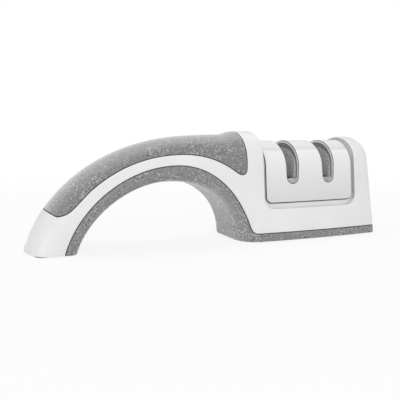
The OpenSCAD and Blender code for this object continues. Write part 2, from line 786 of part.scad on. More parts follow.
// A pan head screw with a cross recess; it points up, or down when flipped
module screw(place, seat, tip, up) {
    translate([place.x, place.y, seat]) mirror([0, 0, up ? 0 : 1]) difference() {
        union() {
            cylinder(h = abs(tip - seat), d = screw_d, $fn = 48);
            translate([0, 0, -head_t]) cylinder(h = head_t, d = head_d, $fn = 48);
        }
        for (a = [0, 90]) rotate(a)
            translate([-0.35 * head_d, -0.35, -head_t - 1]) cube([0.7 * head_d, 0.7, 1.9]);
    }
}

module housing_screws() color("silver") placed() {
    for (p = housing_screw_places) screw(p, screw_seat, boss_split + 8.5, true);
}
module handle_screw() color("silver") placed() {
    screw([handle_screw_x, 0], arch_height + head_t + 0.4, crown_height - grip_skin - 4.5, true);
}
module carrier_screws() color("silver") placed() {
    for (p = carrier_screw_places) screw(p, plate_z + plate_t, foot_proud + floor_t + 0.5, false);
}

module head_feet() color("black") placed() {
    for (p = foot_places) upright(p, 0, foot_proud + foot_recess, foot_d);
}

// The rubber pad under the heel; extra and play make the tool that cuts its recess longer and wider
module heel_pad(extra, play) {
    half = 0.3 * heel_width;
    pad_w = 0.4 * heel_length + 2 * play;
    translate([0.36 * heel_length, 0, -extra]) linear_extrude(foot_proud + foot_recess + extra) {
        square([pad_w, 2 * half], center = true);
        for (side = [-1, 1]) translate([0, side * half]) circle(d = pad_w, $fn = 48);
    }
}
module heel_foot() color("black") placed() heel_pad(0, 0);

upper_housing();
grip_pad();
base_shell();
guide_cover();
stage_1_guide();
stage_2_guide();
wheel_carrier();
stage_1_bushes();
stage_2_bushes();
stage_1_axle();
stage_1_fixed_wheel();
stage_1_sliding_wheel();
stage_1_spring();
stage_1_spring_seat();
stage_1_clips();
stage_2_axle();
stage_2_fixed_wheel();
stage_2_sliding_wheel();
stage_2_spring();
stage_2_spring_seat();
stage_2_clips();
housing_screws();
handle_screw();
carrier_screws();
head_feet();
heel_foot();
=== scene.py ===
import math

import bpy
import numpy as np
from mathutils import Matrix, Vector


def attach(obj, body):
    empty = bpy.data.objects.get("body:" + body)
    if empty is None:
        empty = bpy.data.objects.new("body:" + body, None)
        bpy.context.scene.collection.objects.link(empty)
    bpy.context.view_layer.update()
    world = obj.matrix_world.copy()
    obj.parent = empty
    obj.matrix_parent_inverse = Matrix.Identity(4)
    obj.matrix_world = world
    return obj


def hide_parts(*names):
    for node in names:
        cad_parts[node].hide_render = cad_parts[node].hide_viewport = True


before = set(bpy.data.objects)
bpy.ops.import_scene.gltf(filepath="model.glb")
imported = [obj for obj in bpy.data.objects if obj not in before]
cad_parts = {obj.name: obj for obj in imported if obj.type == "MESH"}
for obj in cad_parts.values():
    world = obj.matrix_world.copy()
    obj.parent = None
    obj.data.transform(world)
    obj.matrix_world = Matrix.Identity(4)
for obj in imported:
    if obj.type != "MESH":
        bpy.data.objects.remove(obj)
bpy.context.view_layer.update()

# Sizes in millimetres. x runs from the tip of the heel to the far end of the head, y to the back
# and z up. The CAD node meshes stay as they are; the four shells are drawn again with rolled edges.

# The whole body
HEEL, SPAN, HEAD = 27.5, 101.0, 101.5
LEG = HEEL + SPAN
TOTAL = LEG + HEAD
MID = HEEL + 0.5446 * SPAN
ARCH_Z, CROWN_Z, SHOULDER_Z, NOSE_Z = 39.8, 66.4, 69.4, 65.3
FOOT = 0.6
HEEL_W, GRIP_W, SHOULDER_W = 42.6, 38.8, 44.8
HEEL_DOME, GRIP_DOME, SHOULDER_DOME = 14.0, 10.4, 19.4
SLOPE, BELLY, TAPER = 0.096, 0.94, 2.6
EDGE_R, CORNER_R = 4.5, 13.0
NOSE_LEAN, NOSE_R, NOSE_EDGE = 5.1, 5.4, 4.0
PLINTH = 5.8
CROWN_X = MID + 11
LIFT_X, LIFT_RUN, LIFT_Z = LEG - 6.5, 10.0, CROWN_Z + 0.9
NOSE_X, NOSE_MID = TOTAL - NOSE_LEAN - NOSE_R, NOSE_Z - NOSE_R
DOME_Z = SHOULDER_Z - SHOULDER_DOME

# The window, the cover and its slots
WINDOW_X, WINDOW_L = LEG + 15.4, 68.9
WINDOW_END = WINDOW_X + WINDOW_L
WINDOW_Z, WINDOW_R = 20.9, 7.0
COVER_X, COVER_END, COVER_Z, COVER_R = WINDOW_X + 1.6, WINDOW_END - 1.6, 24.2, 4.0
COVER_TOP, COVER_DOME, COVER_IN = 63.2, 17.6, 1.1
COVER_DOME_Z = COVER_TOP - COVER_DOME
SLOTS = [WINDOW_X + 21.0, WINDOW_X + 48.0]
SLOT_W, SLOT_MOUTH, SLOT_Z, LEDGE = 8.0, 10.0, 36.2, 39.6
GROOVE = 1.5
HEAD_X = WINDOW_X + 27.6

# Walls, rolled edges, and the holes underneath
SKIN, COVER_SKIN, FLANGE_SKIN, LINER_DEPTH = 2.2, 1.6, 1.4, 3.4
SEAM_R, SEAM_GAP = 0.34, 0.07
WINDOW_EDGE, COVER_EDGE, SLOT_EDGE, HOLE_EDGE, FEET_EDGE = 0.6, 0.5, 0.35, 0.25, 0.2
WALL_T, BOSS_R, SCREW_HOLE_R, FEET_R, SIDE_Y = 2.4, 3.5, 3.0, 5.5, 15
BOSS_X = [LEG + WALL_T + BOSS_R + 3, TOTAL - WALL_T - BOSS_R - 4]
SCREW_HOLES = [(x, y) for x in BOSS_X for y in (-SIDE_Y, SIDE_Y)]
FEET = [(x, y) for x in (WINDOW_X + 5, WINDOW_END - 4) for y in (-SIDE_Y, SIDE_Y)]
PAD_X, PAD_HALF, PAD_R = 0.36 * HEEL, 0.3 * HEEL_W, 0.2 * HEEL
UNDERNEATH, UNDER_HEEL, UNDER_ARCH = (-1, 3.0), FOOT + 0.3, (ARCH_Z - 1, ARCH_Z + 2)
HANDLE_SCREW = [(MID + 2, 0)]
FLANGE_REACH, FLANGE_LOW, FLANGE_Z = 2.4, 18.5, 19.0
BULKHEAD_LOW, BULKHEAD_IN = 17.0, 0.9

# Steps of the curves
RISE_N, FALL_N, NEAR_N, HEAD_N, NOSE_N = 76, 64, 8, 80, 10
FLOOR_N, EDGE_N, SIDE_N, DOME_N = 18, 8, 26, 26
SADDLE_N, SADDLE_DOME_N, TUB_N, SLOT_N, ROLL_N = 40, 36, 12, 16, 4
COVER_N, LINER_N = 120, 100

FAR, NOWHERE = 300.0, -50.0

ARCH_RISE = [(HEEL, FOOT), (HEEL + 6.5, 0.53 * ARCH_Z), (MID - 24, ARCH_Z), (MID, ARCH_Z)]
ARCH_FALL = [(MID, ARCH_Z), (MID + 0.65 * (LEG - MID), ARCH_Z), (LEG, 0.55 * ARCH_Z), (LEG, FOOT)]
BACK_RISE = [(0, FOOT), (6.4, 26), (0.39 * CROWN_X, CROWN_Z - 4.4), (CROWN_X, CROWN_Z)]


def bezier(p, t):
    p = np.array(p, float)
    return (1 - t) ** 3 * p[0] + 3 * (1 - t) ** 2 * t * p[1] + 3 * (1 - t) * t * t * p[2] + t ** 3 * p[3]


def slope_of(p, t):
    p = np.array(p, float)
    return (1 - t) ** 2 * (p[1] - p[0]) + 2 * (1 - t) * t * (p[2] - p[1]) + t * t * (p[3] - p[2])


def mix(a, b, t):
    return a + (b - a) * t


def ease(t):
    t = min(1.0, max(0.0, t))
    return t * t * (3 - 2 * t)


def unit(v):
    return v / np.linalg.norm(v)


# The outer form of the whole body. A station is (lowest point, highest point, depth of the dome,
# radius of the lower edge, distance behind the corner, sine of the angle at which it crosses the
# underside, narrowing of each side).
def crown(x):
    if x < LIFT_X:
        return mix(LIFT_Z, CROWN_Z, ((LIFT_X - x) / (LIFT_X - CROWN_X)) ** 2)
    if x < WINDOW_X:
        return mix(LIFT_Z, SHOULDER_Z, ease((x - LIFT_X) / LIFT_RUN))
    if x < WINDOW_END:
        return mix(SHOULDER_Z, NOSE_Z, (x - WINDOW_X) / WINDOW_L)
    return NOSE_Z


def half_width(x):
    if x < HEEL:
        return HEEL_W / 2
    if x < MID:
        return mix(HEEL_W, GRIP_W, ease((x - HEEL) / (MID - HEEL))) / 2
    if x < WINDOW_X:
        return mix(GRIP_W, SHOULDER_W, ease((x - MID) / (WINDOW_X - MID))) / 2
    t = (x - WINDOW_X) / (TOTAL - WINDOW_X)
    return SHOULDER_W / 2 + 4 * BELLY * t * (1 - t) - TAPER * t * t


def crossing_of(arch, t, e):
    a = unit(slope_of(arch, t))
    return abs(e[0] * a[1] - e[1] * a[0])


def rise_station(t):
    b, c = bezier(ARCH_RISE, t), bezier(BACK_RISE, t)
    dome = mix(HEEL_DOME, GRIP_DOME, ease(t / 0.6))
    return b, c, dome, EDGE_R, 0, crossing_of(ARCH_RISE, t, unit(c - b)), 0


def fall_station(t):
    b, x = bezier(ARCH_FALL, t), mix(CROWN_X, HEAD_X, t)
    c = np.array([x, crown(x)])
    e = unit(c - b)
    dome = mix(GRIP_DOME, c[1] - DOME_Z, ease(t / 0.62)) / e[1]
    return b, c, dome, mix(EDGE_R, CORNER_R, t), 0, crossing_of(ARCH_FALL, t, e), 0


def head_station(t):
    b = np.array([mix(LEG, TOTAL - NOSE_EDGE, t), FOOT])
    x = mix(HEAD_X, NOSE_X, t)
    c = np.array([x, crown(x)])
    e = unit(c - b)
    return b, c, (c[1] - DOME_Z) / e[1], CORNER_R, b[0] - LEG, max(0.2, e[0]), 0


def nose_station(a):
    s, k = math.sin(a), math.cos(a)
    b = np.array([TOTAL - NOSE_EDGE * (1 - s), FOOT])
    c = np.array([mix(NOSE_X, TOTAL - NOSE_LEAN, s), NOSE_MID + NOSE_R * k])
    return b, c, c[1] - DOME_Z, CORNER_R, HEAD, 1, NOSE_EDGE * (1 - k)


def half_section(station):
    """Half of a section from underneath to the top, as [distance along the station, half width]."""
    b, c, depth, r, behind, crossing, cut = station
    e = unit(c - b)
    base = np.linalg.norm(c - b) - depth
    start = max(0.0, (FOOT - b[1]) / e[1] if e[1] > 0.3 else 0.0)
    top_z = (b + e * base)[1]

    def wide(along):
        p = b + e * along
        return half_width(p[0]) - cut + SLOPE * max(0.0, top_z - p[1]) * min(1.0, e[1] / 0.8)

    rows = []
    for i in range(EDGE_N + 1):
        step = r * (1 - math.cos(math.pi / 2 * i / EDGE_N))
        d = max(step, behind)
        along = max(start + 0.13 * i, start + (step - behind) / crossing)
        inward = r - math.sqrt(r * r - (r - d) ** 2) if d < r else 0.0
        rows.append([along, wide(along) - inward - 0.4 * (1 - i / EDGE_N) ** 2])
    low = rows[-1][0]
    for i in range(1, SIDE_N):
        along = mix(low, base, i / SIDE_N)
        rows.append([along, wide(along)])
    for i in range(DOME_N + 1):
        a = math.pi / 2 * i / DOME_N
        along = base + depth * math.sin(a)
        rows.append([along, (half_width((b + e * along)[0]) - cut) * math.cos(a)])
    rows[-1][1] = 0.0
    floor = [[start, rows[0][1] * j / FLOOR_N] for j in range(FLOOR_N)]
    return floor + rows


def ring(station):
    half = half_section(station)
    e = unit(station[1] - station[0])
    points = [station[0] + e * along for along, _ in half]
    front = [(p[0], -w, p[1]) for p, (_, w) in zip(points, half)]
    back = [(p[0], w, p[1]) for p, (_, w) in zip(points, half)]
    return front + back[-2:0:-1]


def cap(vertices, faces, first, n, turn):
    """Closes the body's end over the ring that starts at vertex first, in rows from side to side."""
    wide = 2 * FLOOR_N
    last = [first + (-j) % n for j in range(-FLOOR_N, FLOOR_N + 1)][::turn]
    for k in range(FLOOR_N + 1, n // 2):
        a, b = (first + k, first + n - k)[::turn]
        start, end = np.array(vertices[a]), np.array(vertices[b])
        row = [a] + [len(vertices) + j for j in range(wide - 1)] + [b]
        vertices += [tuple(mix(start, end, j / wide)) for j in range(1, wide)]
        faces += [(last[j], row[j], row[j + 1], last[j + 1]) for j in range(wide)]
        last = row
    faces += [(last[j], first + n // 2, last[j + 1]) for j in range(wide)]


def body_grid():
    near = CORNER_R / (HEAD - NOSE_EDGE)
    stations = [rise_station(i / RISE_N) for i in range(RISE_N + 1)]
    stations += [fall_station(i / FALL_N) for i in range(1, FALL_N + 1)]
    stations += [head_station(near * i / NEAR_N) for i in range(1, NEAR_N + 1)]
    stations += [head_station(mix(near, 1, i / HEAD_N)) for i in range(1, HEAD_N + 1)]
    stations += [nose_station(math.pi / 2 * i / NOSE_N) for i in range(1, NOSE_N + 1)]
    rings = [ring(station) for station in stations]
    n = len(rings[0])
    vertices = [p for r in rings for p in r]
    faces = []
    for i in range(len(rings) - 1):
        for k in range(n):
            a, b = i * n + k, i * n + (k + 1) % n
            faces.append((a, a + n, b + n, b))
    cap(vertices, faces, 0, n, 1)
    cap(vertices, faces, (len(rings) - 1) * n, n, -1)
    return np.array(vertices), faces


def normals_of(v, faces):
    """Area weighted normals of the vertices."""
    out = np.zeros_like(v)
    for f in faces:
        p = v[list(f)]
        a, b = (p[2] - p[0], p[3] - p[1]) if len(f) == 4 else (p[1] - p[0], p[2] - p[0])
        normal = np.cross(a, b)
        for k in f:
            out[k] += normal
    size = np.linalg.norm(out, axis=1)
    size[size < 1e-12] = 1
    return out / size[:, None]


# Outlines seen from the side, as points (x, z)
def outline(curves):
    """The points of an outline made of curves, each given as (steps, four control points)."""
    points = [curves[0][1]]
    for n, *controls in curves:
        points += [tuple(bezier(controls, i / n)) for i in range(1, n + 1)]
    return points


def tub(x0, x1, low, r):
    """A box that is open upward, with two rounded lower corners."""
    turns = [math.pi / 2 * i / TUB_N for i in range(TUB_N + 1)]
    left = [(x0 + r * (1 - math.cos(a)), low + r * (1 - math.sin(a))) for a in turns]
    right = [(x1 - r * (1 - math.sin(a)), low + r * (1 - math.cos(a))) for a in turns]
    return [(x0, FAR)] + left + right + [(x1, FAR)]


def slot_outline(x):
    r = SLOT_W / 2
    low = SLOT_Z + r
    out = r + (SLOT_MOUTH / 2 - r) / (COVER_TOP - low) * (FAR - low)
    turns = [math.pi * i / SLOT_N for i in range(SLOT_N + 1)]
    foot = [(x - r * math.cos(a), low - r * math.sin(a)) for a in turns]
    return [(x - out, FAR)] + foot + [(x + out, FAR)]


SPLIT_X, SPLIT_Z = HEEL - 7.6, mix(ARCH_Z, CROWN_Z, 0.361)
SPLIT = outline([
    (48, (SPLIT_X, 0), (HEEL + 0.5, 0.567 * SPLIT_Z), (MID - 26, SPLIT_Z), (MID + 5, SPLIT_Z)),
    (40, (MID + 5, SPLIT_Z), (LEG - 15, SPLIT_Z), (LEG - 0.2, 28), (LEG + 6.3, PLINTH + 3)),
    (10, (LEG + 6.3, PLINTH + 3), (LEG + 7.2, PLINTH + 0.7), (LEG + 8.5, PLINTH), (LEG + 10.5, PLINTH)),
])
ABOVE_SPLIT = [(SPLIT_X, -FAR)] + SPLIT + [(FAR, PLINTH), (FAR, FAR), (-FAR, FAR), (-FAR, -FAR)]

GRIP_X, GRIP_Z, GRIP_LOW = HEEL - 11, mix(ARCH_Z, CROWN_Z, -0.654), mix(ARCH_Z, CROWN_Z, 0.6015)
GRIP_END = LEG + 4
GRIP_BACK, LOBE_Z = 0.542 * CROWN_Z, 0.678 * CROWN_Z
GRIP = outline([
    (20, (GRIP_X, GRIP_Z), (HEEL - 3.5, GRIP_Z + 1.2), (HEEL - 3, GRIP_Z + 3.6), (HEEL + 7.5, GRIP_BACK)),
    (36, (HEEL + 7.5, GRIP_BACK), (HEEL + 24.5, 0.756 * CROWN_Z), (MID - 11, GRIP_LOW), (MID + 8, GRIP_LOW)),
    (24, (MID + 8, GRIP_LOW), (MID + 20, GRIP_LOW), (LEG - 15, 0.798 * CROWN_Z), (LEG - 4, LOBE_Z)),
    (16, (LEG - 4, LOBE_Z), (LEG + 1, 0.618 * CROWN_Z), (GRIP_END, 0.64 * CROWN_Z),
     (GRIP_END, 0.723 * CROWN_Z)),
])
ABOVE_GRIP = GRIP + [(GRIP_END, FAR), (-FAR, FAR), (-FAR, GRIP_Z + 0.5 * (FAR + GRIP_X))]

WINDOW = tub(WINDOW_X, WINDOW_END, WINDOW_Z, WINDOW_R)
COVER = tub(COVER_X, COVER_END, COVER_Z, COVER_R)


def inside(polygon):
    """A field that is the distance to the polygon's outline in side view, negative inside it."""
    a = np.array(polygon, float)
    b = np.roll(a, -1, axis=0)
    d = b - a

    def field(p):
        q = p[:, [0, 2]]
        best = np.full(len(q), 1e9)
        odd = np.zeros(len(q), bool)
        for i in range(len(a)):
            w = q - a[i]
            size = d[i] @ d[i]
            if size > 1e-12:
                t = np.clip(w @ d[i] / size, 0, 1)
                best = np.minimum(best, np.linalg.norm(w - t[:, None] * d[i], axis=1))
            crosses = (a[i][1] > q[:, 1]) != (b[i][1] > q[:, 1])
            with np.errstate(divide="ignore", invalid="ignore"):
                reach = a[i][0] + (q[:, 1] - a[i][1]) / d[i][1] * d[i][0]
            odd ^= crosses & (q[:, 0] < reach)
        return np.where(odd, -best, best)

    return field


def outside(polygon):
    field = inside(polygon)
    return lambda p: -field(p)


def hole(points, radius, heights):
    """Round holes, seen from underneath, in the skin between two heights."""
    def field(p):
        out = np.full(len(p), NOWHERE)
        level = (p[:, 2] > heights[0]) & (p[:, 2] < heights[1])
        for x, y in points:
            near = radius - np.hypot(p[:, 0] - x, p[:, 1] - y)
            out = np.where(level, np.maximum(out, near), out)
        return out

    return field


def pad_hole(x, half, radius, high):
    """The long hole under the heel for its rubber pad."""
    def field(p):
        near = radius - np.hypot(p[:, 0] - x, np.maximum(0, np.abs(p[:, 1]) - half))
        return np.where(p[:, 2] < high, near, NOWHERE)

    return field


def slot_above_ledge(x):
    slot = inside(slot_outline(x))
    above = inside([(-FAR, LEDGE), (FAR, LEDGE), (FAR, FAR), (-FAR, FAR)])
    return lambda p: -np.maximum(slot(p), above(p))


# Cutting a skin and rolling its edges. A rule is (field, radius of the rolled edge, gap left to the
# neighbour, material of each row of the edge). The skin goes where any rule is positive.
def cut_faces(faces, field, first):
    """The faces left where the field is negative, the pairs of vertices cut apart, and the rim.

    The vertices on the rim are numbered from first, one for each pair.
    """
    cuts, kept, rim = {}, [], []

    def cut_triangle(f):
        out = []
        for a, b in zip(f, f[1:] + f[:1]):
            if field[a] < 0:
                out.append(a)
            if (field[a] < 0) != (field[b] < 0):
                c = cuts.setdefault((min(a, b), max(a, b)), first + len(cuts))
                out.append(c)
                if field[a] < 0:
                    leave = c
                else:
                    enter = c
        kept.append(tuple(out))
        rim.append((leave, enter))

    for face in faces:
        if all(field[k] < 0 for k in face):
            kept.append(tuple(face))
        elif any(field[k] < 0 for k in face):
            for k in range(1, len(face) - 1):
                f = (face[0], face[k], face[k + 1])
                if all(field[i] < 0 for i in f):
                    kept.append(f)
                elif any(field[i] < 0 for i in f):
                    cut_triangle(f)
    return kept, list(cuts), rim


def rim_points(v, n, pairs, field, levels):
    """The points of the rim and the skin's normals there."""
    i, j = np.array(pairs).T
    t = field[i] / (field[i] - field[j])
    p = v[i] + (v[j] - v[i]) * t[:, None]
    for _ in range(2):
        t = np.clip(t - levels(p).max(0) / (field[j] - field[i]), 0, 1)
        p = v[i] + (v[j] - v[i]) * t[:, None]
    m = n[i] * (1 - t)[:, None] + n[j] * t[:, None]
    return p, m / np.linalg.norm(m, axis=1)[:, None]


def rim_ways(p, m, rules, rule):
    """The directions along the skin in which the rules rise at the points p with normals m."""
    way = np.zeros_like(p)
    for k in range(len(rules)):
        here = rule == k
        if here.any():
            for axis, d in enumerate(0.05 * np.eye(3)):
                way[here, axis] = rules[k][0](p[here] + d) - rules[k][0](p[here] - d)
    way -= (way * m).sum(1)[:, None] * m
    size = np.linalg.norm(way, axis=1)
    size[size < 1e-9] = 1
    return way / size[:, None]


def shell(v, faces, n, rules, depth):
    """A skin with normals n cut by rules, its edges rolled inward, closed with an inner skin."""
    def levels(p):
        return np.stack([field(p) + radius + gap for field, radius, gap, _ in rules])

    field = levels(v).max(0)
    field[np.abs(field) < 1e-4] = 1e-4
    kept, pairs, rim = cut_faces(faces, field, len(v))
    p, m = rim_points(v, n, pairs, field, levels)
    rule = levels(p).argmax(0)
    way = rim_ways(p, m, rules, rule)
    radius = np.array([rules[k][1] for k in rule])[:, None]
    deep = np.maximum(depth, radius)
    turns = [math.pi / 2 * k / ROLL_N for k in range(1, ROLL_N + 1)]
    rows = [p] + [p + way * (radius * math.sin(a)) - m * (radius * (1 - math.cos(a))) for a in turns]
    rows += [p + way * radius - m * deep, p - m * deep]

    out, marks, count = list(kept), [0] * len(kept), len(pairs)
    for a, b in rim:
        for k in range(len(rows) - 1):
            a0, b0 = a + k * count, b + k * count
            out.append((b0, a0, a0 + count, b0 + count))
            marks.append(rules[rule[a - len(v)]][3][k])
    inner, last = len(v) + len(rows) * count, (len(rows) - 1) * count
    out += [tuple(k + (inner if k < len(v) else last) for k in reversed(f)) for f in kept]
    marks += [0] * len(kept)
    points = np.vstack([v] + rows + [v - n * depth])
    used = sorted({k for f in out for k in f})
    at = {k: i for i, k in enumerate(used)}
    return points[used], [tuple(at[k] for k in f) for f in out], marks


def joined(parts):
    vertices, faces, marks, base = [], [], [], 0
    for v, f, m in parts:
        vertices.append(v)
        faces += [tuple(k + base for k in q) for q in f]
        marks += m
        base += len(v)
    return np.vstack(vertices), faces, marks


# Materials
def graph(tree):
    """Two functions for a node tree: one adds a node with its inputs set, and one links two sockets."""
    def node(kind, inputs=None, **settings):
        made = tree.nodes.new("ShaderNode" + kind)
        for key, value in settings.items():
            setattr(made, key, value)
        for key, value in (inputs or {}).items():
            made.inputs[key].default_value = value
        return made

    def link(a, b):
        tree.links.new(a, b)

    return node, link


def noise(node, link, place, scale, detail=3.0, rough=0.5, stretch=None):
    made = node("TexNoise", {"Scale": scale, "Detail": detail, "Roughness": rough})
    if stretch:
        mapping = node("Mapping", {"Scale": stretch})
        link(place, mapping.inputs["Vector"])
        place = mapping.outputs[0]
    link(place, made.inputs["Vector"])
    return made.outputs["Fac"]


def ramp(node, link, value, stops):
    made = node("ValToRGB")
    ends = made.color_ramp.elements
    while len(ends) < len(stops):
        ends.new(0.5)
    for end, (at, colour) in zip(ends, stops):
        end.position = at
        end.color = (*colour, 1) if isinstance(colour, tuple) else (colour, colour, colour, 1)
    link(value, made.inputs[0])
    return made.outputs["Color"]


def span(node, link, value, low, high, start=0.0, end=1.0):
    made = node("MapRange", {"From Min": start, "From Max": end, "To Min": low, "To Max": high})
    link(value, made.inputs["Value"])
    return made.outputs[0]


def sums(node, link, operation, *values):
    """The result of a sum on values, each of them a number or a socket."""
    made = node("Math", operation=operation)
    for at, value in zip(made.inputs, values):
        if isinstance(value, float):
            at.default_value = value
        else:
            link(value, at)
    return made.outputs[0]


def bump(node, link, value, strength, distance):
    made = node("Bump", {"Strength": strength, "Distance": distance})
    link(value, made.inputs["Height"])
    return made.outputs[0]


def shade(name, rough, build, metal=0.0, coat=0.0, sheen=0.0):
    """A procedural material; build adds its nodes and returns the colour, roughness and normal."""
    made = bpy.data.materials.new(name)
    made.use_nodes = True
    shader = made.node_tree.nodes["Principled BSDF"]
    for key, value in (
        ("Roughness", rough), ("Metallic", metal), ("Coat Weight", coat), ("Coat Roughness", 0.2),
        ("Sheen Weight", sheen), ("Specular IOR Level", 0.5),
    ):
        shader.inputs[key].default_value = value
    node, link = graph(made.node_tree)
    sockets = build(node, link, node("TexCoord").outputs["Object"])
    for key, socket in zip(("Base Color", "Roughness", "Normal"), sockets):
        if socket:
            link(socket, shader.inputs[key])
    return made


def fine_skin(node, link, place, rough):
    """The roughness and the normal of a moulded skin."""
    cloud = noise(node, link, place, 180, 3)
    grain = noise(node, link, place, 2600, 2)
    return span(node, link, cloud, rough - 0.06, rough + 0.06), bump(node, link, grain, 0.25, 0.00003)


def moulded(name, low, high, rough, coat=0.0, scale=35.0):
    """Smooth moulded plastic with a faint cloudiness between two greys."""
    def build(node, link, place):
        cloud = noise(node, link, place, scale, 4)
        return (ramp(node, link, cloud, [(0.3, low), (0.7, high)]), *fine_skin(node, link, place, rough))

    return shade(name, rough, build, coat=coat)


def graded(name, low, high, stops):
    """Smooth moulded plastic whose grey changes with height, between two heights in millimetres; the change
    with height is painted light and shade.
    """
    def build(node, link, place):
        parts = node("SeparateXYZ")
        link(place, parts.inputs[0])
        height = span(node, link, parts.outputs["Z"], 0.0, 1.0, low * 0.001, high * 0.001)
        level = sums(node, link, "MULTIPLY_ADD", noise(node, link, place, 40, 4), 0.06, height)
        return (ramp(node, link, level, stops), *fine_skin(node, link, place, 0.38))

    return shade(name, 0.38, build, coat=0.1)


def soft_touch(name, dark, middle, pale, rough, sheen=0.0):
    """Soft-touch rubber: patches of pale grains and dark pits in a clouded grey."""
    def build(node, link, place):
        speckle = noise(node, link, place, 820, 5, 0.85, (1, 0.45, 1))
        patches = span(node, link, noise(node, link, place, 95, 2), 0.75, 1.35, 0.36, 0.64)
        centred = sums(node, link, "SUBTRACT", speckle, 0.5)
        grains = sums(node, link, "MULTIPLY_ADD", centred, patches, 0.5)
        stops = [(0.37, dark), (0.45, middle * 0.9), (0.55, middle * 1.05), (0.65, pale)]
        return (
            ramp(node, link, grains, stops),
            span(node, link, speckle, rough - 0.1, rough + 0.12),
            bump(node, link, grains, 0.6, 0.00022),
        )

    return shade(name, rough, build, sheen=sheen)


def metal(name, colour, rough):
    """Turned or drawn metal with fine lines."""
    def build(node, link, place):
        lines = noise(node, link, place, 60.0, 4, 0.6, (1, 40, 40))
        low = tuple(c * 0.8 for c in colour)
        return (
            ramp(node, link, lines, [(0.3, low), (0.7, colour)]),
            span(node, link, lines, rough - 0.08, rough + 0.12),
            bump(node, link, lines, 0.2, 0.00004),
        )

    return shade(name, rough, build, metal=1.0)


def grit(name, dark, pale, rough, scale):
    """Bonded abrasive: packed grains in a matt binder."""
    def build(node, link, place):
        cells = node("TexVoronoi", {"Scale": scale})
        link(place, cells.inputs["Vector"])
        distance = cells.outputs["Distance"]
        return (
            ramp(node, link, distance, [(0.1, pale), (0.7, dark)]),
            None,
            bump(node, link, distance, 0.7, 0.00012),
        )

    return shade(name, rough, build)


WHITE = moulded("white_plastic", 0.80, 0.86, 0.34, coat=0.15)
# Painted light and shade on the cover: its grey darkens towards the bottom as painted shade, is lightest
# high up as painted light, and a darker band near the top is a painted reflection.
COVER_LIGHT_AND_SHADE_STOPS = [(0.03, 0.70), (0.5, 0.80), (0.8, 0.88), (0.86, 0.89), (0.89, 0.74), (0.99, 0.86)]
COVER_MAT = graded("cover_plastic", COVER_Z, COVER_TOP, COVER_LIGHT_AND_SHADE_STOPS)
# Painted shade: the flange in the groove round the cover is pale at the bottom, where light falls, and grey
# higher up, where the groove is in shade.
GROOVE_SHADE_MAT = graded("groove_painted_shade", 21, 29, [(0.2, 0.84), (0.9, 0.62)])
# Painted shade: the rolled wall round the window is pale at the bottom and grey higher up, where it is in
# shade.
SHADE_MAT = graded("window_edge_painted_shade", 21, 29, [(0.2, 0.84), (0.9, 0.56)])
GRIP_MAT = soft_touch("grip_rubber", 0.07, 0.20, 0.62, 0.45, sheen=1.0)
BASE_MAT = soft_touch("base_plastic", 0.08, 0.24, 0.70, 0.6, sheen=0.5)
GUIDE_MAT = soft_touch("guide_plastic", 0.26, 0.48, 0.75, 0.6)
LEDGE_MAT = moulded("ledge_plastic", 0.3, 0.6, 0.5, scale=420.0)
# Painted shade: a near black for the rolled edges of seams, the cover's edge and the slot rims, where a dark
# line stands for the shade in the gaps.
SEAM_MAT = moulded("seam_shadow", 0.05, 0.08, 0.6)
LINER_MAT = soft_touch("liner_plastic", 0.12, 0.22, 0.38, 0.6)
CARRIER_MAT = moulded("carrier_plastic", 0.30, 0.36, 0.5)
BLACK = soft_touch("foot_rubber", 0.015, 0.03, 0.06, 0.8)
STEEL = metal("steel", (0.62, 0.62, 0.63), 0.28)
BRONZE = metal("sintered_bronze", (0.66, 0.46, 0.24), 0.42)
COARSE = grit("coarse_abrasive", 0.10, 0.30, 0.85, 2200.0)
FINE = grit("fine_abrasive", 0.62, 0.84, 0.8, 5200.0)

NODE_MATERIALS = [
    ("stage_1_fixed_wheel", COARSE), ("stage_1_sliding_wheel", COARSE),
    ("stage_2_fixed_wheel", FINE), ("stage_2_sliding_wheel", FINE),
    ("wheel_carrier", CARRIER_MAT), ("bushes", BRONZE), ("guide", GUIDE_MAT),
    ("foot", BLACK), ("feet", BLACK),
]

for name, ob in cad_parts.items():
    ob.data.materials.clear()
    ob.data.materials.append(next((mat for word, mat in NODE_MATERIALS if word in name), STEEL))


# The shells
def piece(name, mesh, materials, node, replaces=True):
    """Adds a piece of the standing body; where it stands for a CAD node, that node is hidden."""
    v, faces, marks = mesh
    made = bpy.data.meshes.new(name)
    made.from_pydata(((v - (TOTAL / 2, 0, 0)) * 0.001).tolist(), [], faces)
    for mat in materials:
        made.materials.append(mat)
    made.polygons.foreach_set("material_index", marks)
    made.validate()
    made.shade_smooth()
    made.set_sharp_from_angle(angle=math.radians(38))
    ob = bpy.data.objects.new(name, made)
    bpy.context.scene.collection.objects.link(ob)
    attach(ob, "sharpener_body")
    if replaces:
        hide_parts(node)
    return ob


def mirrored(x, half):
    """A row of points at x from front to back, from half of it as (height, half width)."""
    return [(x, -w, z) for z, w in half] + [(x, w, z) for z, w in half[-2::-1]]


def saddle_half(x, inset, low):
    w = half_width(x) - COVER_IN - inset
    levels = [mix(low, COVER_DOME_Z, i / SADDLE_N) for i in range(SADDLE_N)]
    turns = [math.pi / 2 * i / SADDLE_DOME_N for i in range(SADDLE_DOME_N + 1)]
    side = [(z, w + SLOPE * (COVER_DOME_Z - z)) for z in levels]
    return side + [(COVER_DOME_Z + (COVER_DOME - inset) * math.sin(a), w * math.cos(a)) for a in turns]


def saddle_shell(inset, x0, x1, low, steps, rules, depth):
    """A shell of the saddle under the window, whose open skin has rows of points from front to back."""
    places = [mix(x0, x1, i / steps) for i in range(steps + 1)]
    rows = [mirrored(x, saddle_half(x, inset, low)) for x in places]
    v = np.array([p for row in rows for p in row])
    n = len(rows[0])
    starts = [i * n + k for i in range(steps) for k in range(n - 1)]
    faces = [(a, a + n, a + n + 1, a + 1) for a in starts]
    return shell(v, faces, normals_of(v, faces), rules, depth)


